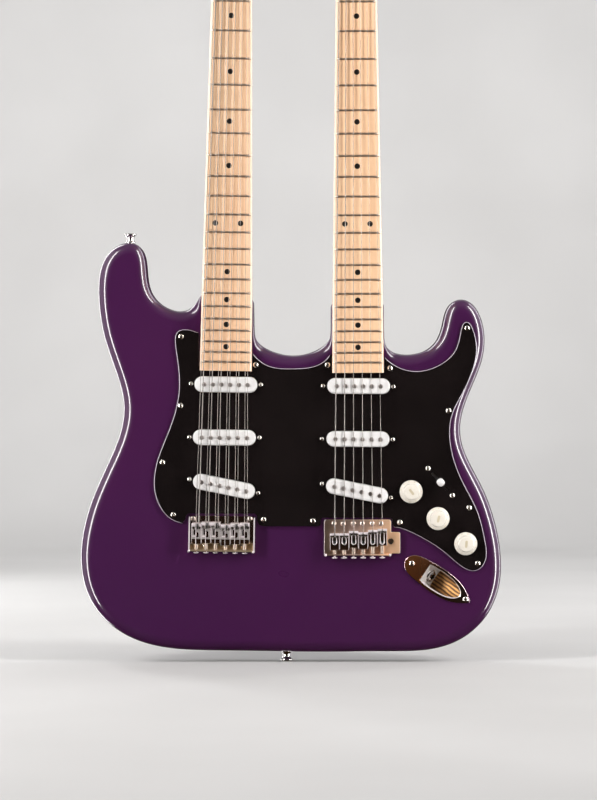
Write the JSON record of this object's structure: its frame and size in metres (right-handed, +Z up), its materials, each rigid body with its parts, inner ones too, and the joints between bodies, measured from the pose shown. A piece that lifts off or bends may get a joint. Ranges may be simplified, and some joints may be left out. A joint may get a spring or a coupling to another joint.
{
  "type": "double-neck electric guitar",
  "caption": "Double-neck solid-body electric guitar: a paired-string neck with a fixed bridge beside a single-string neck with a tremolo bridge, on one horned body.",
  "frame": {"origin": "centre of the tail strap button's end face; y = 0 is the middle of the body's thickness", "axes": "+Z up along the necks towards the headstocks, front (strings) faces -Y, +X to the right seen from the front"},
  "size_m": [0.463, 0.0646, 0.9821],
  "materials": {
    "purple_lacquer": "high-gloss dark purple lacquer over wood",
    "maple": "satin-gloss clear lacquer over maple",
    "black_plastic": "gloss three-ply sheet with a pale bevelled edge",
    "white_plastic": "satin moulded plastic",
    "bone": "polished nut blank",
    "chrome": "polished plating",
    "steel": "plain wire and pressed steel"
  },
  "bodies": {
    "guitar": {"neck_12": "maple", "nut_12": "bone", "truss_rod_12": "steel", "neck_plate_12": "chrome", "tuner_strip_12_left": "chrome", "tuner_strip_12_right": "chrome", "bridge_12": "chrome", "strings_12": "steel", "neck_6": "maple", "nut_6": "bone", "truss_rod_6": "steel", "neck_plate_6": "chrome", "tuner_strip_6": "chrome", "strings_6": "steel", "jack_plate": "chrome", "output_jack": "chrome", "body": "purple_lacquer", "pickguard": "black_plastic", "pickup_12_neck": "white_plastic", "pickup_12_middle": "white_plastic", "pickup_12_bridge": "white_plastic", "pickup_6_neck": "white_plastic", "pickup_6_middle": "white_plastic", "pickup_6_bridge": "white_plastic", "tremolo_springs": "steel", "rear_cover": "black_plastic", "control_pots": "steel", "strap_button_tail": "chrome", "strap_button_horn": "chrome"},
    "tuner_key_12_01": {"tuner_key_12_01": "chrome"},
    "tuner_key_12_02": {"tuner_key_12_02": "chrome"},
    "tuner_key_12_03": {"tuner_key_12_03": "chrome"},
    "tuner_key_12_04": {"tuner_key_12_04": "chrome"},
    "tuner_key_12_05": {"tuner_key_12_05": "chrome"},
    "tuner_key_12_06": {"tuner_key_12_06": "chrome"},
    "tuner_key_12_07": {"tuner_key_12_07": "chrome"},
    "tuner_key_12_08": {"tuner_key_12_08": "chrome"},
    "tuner_key_12_09": {"tuner_key_12_09": "chrome"},
    "tuner_key_12_10": {"tuner_key_12_10": "chrome"},
    "tuner_key_12_11": {"tuner_key_12_11": "chrome"},
    "tuner_key_12_12": {"tuner_key_12_12": "chrome"},
    "tuner_key_6_1": {"tuner_key_6_1": "chrome"},
    "tuner_post_6_1": {"tuner_post_6_1": "chrome"},
    "tuner_key_6_2": {"tuner_key_6_2": "chrome"},
    "tuner_post_6_2": {"tuner_post_6_2": "chrome"},
    "tuner_key_6_3": {"tuner_key_6_3": "chrome"},
    "tuner_post_6_3": {"tuner_post_6_3": "chrome"},
    "tuner_key_6_4": {"tuner_key_6_4": "chrome"},
    "tuner_post_6_4": {"tuner_post_6_4": "chrome"},
    "tuner_key_6_5": {"tuner_key_6_5": "chrome"},
    "tuner_post_6_5": {"tuner_post_6_5": "chrome"},
    "tuner_key_6_6": {"tuner_key_6_6": "chrome"},
    "tuner_post_6_6": {"tuner_post_6_6": "chrome"},
    "knob_volume": {"knob_volume": "white_plastic"},
    "knob_tone_1": {"knob_tone_1": "white_plastic"},
    "knob_tone_2": {"knob_tone_2": "white_plastic"},
    "selector_lever": {"selector_lever": "white_plastic"},
    "tremolo": {"tremolo_plate": "chrome", "saddles_6": "chrome", "tremolo_block": "steel"}
  },
  "joints": [
    {"name": "tuner_key_12_01_turn", "type": "hinge", "parent": "guitar", "child": "tuner_key_12_01", "pos_m": [-0.083, -0.0062, 0.83649], "axis": [-0.999, 0, 0.0449], "continuous": true},
    {"name": "tuner_key_12_02_turn", "type": "hinge", "parent": "guitar", "child": "tuner_key_12_02", "pos_m": [-0.08194, -0.0062, 0.86006], "axis": [-0.999, 0, 0.0449], "continuous": true},
    {"name": "tuner_key_12_03_turn", "type": "hinge", "parent": "guitar", "child": "tuner_key_12_03", "pos_m": [-0.08088, -0.0062, 0.88364], "axis": [-0.999, 0, 0.0449], "continuous": true},
    {"name": "tuner_key_12_04_turn", "type": "hinge", "parent": "guitar", "child": "tuner_key_12_04", "pos_m": [-0.07982, -0.0062, 0.90721], "axis": [-0.999, 0, 0.0449], "continuous": true},
    {"name": "tuner_key_12_05_turn", "type": "hinge", "parent": "guitar", "child": "tuner_key_12_05", "pos_m": [-0.07876, -0.0062, 0.93079], "axis": [-0.999, 0, 0.0449], "continuous": true},
    {"name": "tuner_key_12_06_turn", "type": "hinge", "parent": "guitar", "child": "tuner_key_12_06", "pos_m": [-0.0777, -0.0062, 0.95437], "axis": [-0.999, 0, 0.0449], "continuous": true},
    {"name": "tuner_key_12_07_turn", "type": "hinge", "parent": "guitar", "child": "tuner_key_12_07", "pos_m": [-0.0338, -0.0062, 0.8357], "axis": [0.9999, 0, 0.0131], "continuous": true},
    {"name": "tuner_key_12_08_turn", "type": "hinge", "parent": "guitar", "child": "tuner_key_12_08", "pos_m": [-0.03411, -0.0062, 0.8593], "axis": [0.9999, 0, 0.0131], "continuous": true},
    {"name": "tuner_key_12_09_turn", "type": "hinge", "parent": "guitar", "child": "tuner_key_12_09", "pos_m": [-0.03442, -0.0062, 0.8829], "axis": [0.9999, 0, 0.0131], "continuous": true},
    {"name": "tuner_key_12_10_turn", "type": "hinge", "parent": "guitar", "child": "tuner_key_12_10", "pos_m": [-0.03473, -0.0062, 0.9065], "axis": [0.9999, 0, 0.0131], "continuous": true},
    {"name": "tuner_key_12_11_turn", "type": "hinge", "parent": "guitar", "child": "tuner_key_12_11", "pos_m": [-0.03504, -0.0062, 0.9301], "axis": [0.9999, 0, 0.0131], "continuous": true},
    {"name": "tuner_key_12_12_turn", "type": "hinge", "parent": "guitar", "child": "tuner_key_12_12", "pos_m": [-0.03534, -0.0062, 0.95369], "axis": [0.9999, 0, 0.0131], "continuous": true},
    {"name": "tuner_key_6_1_turn", "type": "hinge", "parent": "guitar", "child": "tuner_key_6_1", "pos_m": [0.0557, -0.0062, 0.8293], "axis": [-0.9734, 0, 0.229], "continuous": true},
    {"name": "tuner_post_6_1_turn", "type": "hinge", "parent": "guitar", "child": "tuner_post_6_1", "pos_m": [0.0557, 0, 0.8293], "axis": [0, -1, 0], "continuous": true},
    {"name": "tuner_key_6_2_turn", "type": "hinge", "parent": "guitar", "child": "tuner_key_6_2", "pos_m": [0.06133, -0.0062, 0.85324], "axis": [-0.9734, 0, 0.229], "continuous": true},
    {"name": "tuner_post_6_2_turn", "type": "hinge", "parent": "guitar", "child": "tuner_post_6_2", "pos_m": [0.06133, 0, 0.85324], "axis": [0, -1, 0], "continuous": true},
    {"name": "tuner_key_6_3_turn", "type": "hinge", "parent": "guitar", "child": "tuner_key_6_3", "pos_m": [0.06696, -0.0062, 0.87719], "axis": [-0.9734, 0, 0.229], "continuous": true},
    {"name": "tuner_post_6_3_turn", "type": "hinge", "parent": "guitar", "child": "tuner_post_6_3", "pos_m": [0.06696, 0, 0.87719], "axis": [0, -1, 0], "continuous": true},
    {"name": "tuner_key_6_4_turn", "type": "hinge", "parent": "guitar", "child": "tuner_key_6_4", "pos_m": [0.0726, -0.0062, 0.90114], "axis": [-0.9734, 0, 0.229], "continuous": true},
    {"name": "tuner_post_6_4_turn", "type": "hinge", "parent": "guitar", "child": "tuner_post_6_4", "pos_m": [0.0726, 0, 0.90114], "axis": [0, -1, 0], "continuous": true},
    {"name": "tuner_key_6_5_turn", "type": "hinge", "parent": "guitar", "child": "tuner_key_6_5", "pos_m": [0.07823, -0.0062, 0.92508], "axis": [-0.9734, 0, 0.229], "continuous": true},
    {"name": "tuner_post_6_5_turn", "type": "hinge", "parent": "guitar", "child": "tuner_post_6_5", "pos_m": [0.07823, 0, 0.92508], "axis": [0, -1, 0], "continuous": true},
    {"name": "tuner_key_6_6_turn", "type": "hinge", "parent": "guitar", "child": "tuner_key_6_6", "pos_m": [0.08387, -0.0062, 0.94903], "axis": [-0.9734, 0, 0.229], "continuous": true},
    {"name": "tuner_post_6_6_turn", "type": "hinge", "parent": "guitar", "child": "tuner_post_6_6", "pos_m": [0.08387, 0, 0.94903], "axis": [0, -1, 0], "continuous": true},
    {"name": "knob_volume_turn", "type": "hinge", "parent": "guitar", "child": "knob_volume", "pos_m": [0.1368, -0.02225, 0.1875], "axis": [0, -1, 0], "range_deg": [-150, 150]},
    {"name": "knob_tone_1_turn", "type": "hinge", "parent": "guitar", "child": "knob_tone_1", "pos_m": [0.1663, -0.02225, 0.158], "axis": [0, -1, 0], "range_deg": [-150, 150]},
    {"name": "knob_tone_2_turn", "type": "hinge", "parent": "guitar", "child": "knob_tone_2", "pos_m": [0.1967, -0.02225, 0.1304], "axis": [0, -1, 0], "range_deg": [-150, 150]},
    {"name": "selector_lever_swing", "type": "hinge", "parent": "guitar", "child": "selector_lever", "pos_m": [0.1687, -0.00825, 0.198], "axis": [0.7431, 0, 0.6691], "range_deg": [-20, 20]},
    {"name": "tremolo_rock", "type": "hinge", "parent": "guitar", "child": "tremolo", "pos_m": [0.0788, -0.0253, 0.1525], "axis": [1, 0, 0], "range_deg": [-8, 2], "stiffness_Nm_per_rad": 10, "deforming": ["strings_6", "tremolo_springs"]}
  ],
  "couplings": [
    {"joint": "tuner_post_6_1_turn", "follows": "tuner_key_6_1_turn", "ratio": 0.071429},
    {"joint": "tuner_post_6_2_turn", "follows": "tuner_key_6_2_turn", "ratio": 0.071429},
    {"joint": "tuner_post_6_3_turn", "follows": "tuner_key_6_3_turn", "ratio": 0.071429},
    {"joint": "tuner_post_6_4_turn", "follows": "tuner_key_6_4_turn", "ratio": 0.071429},
    {"joint": "tuner_post_6_5_turn", "follows": "tuner_key_6_5_turn", "ratio": 0.071429},
    {"joint": "tuner_post_6_6_turn", "follows": "tuner_key_6_6_turn", "ratio": 0.071429}
  ]
}
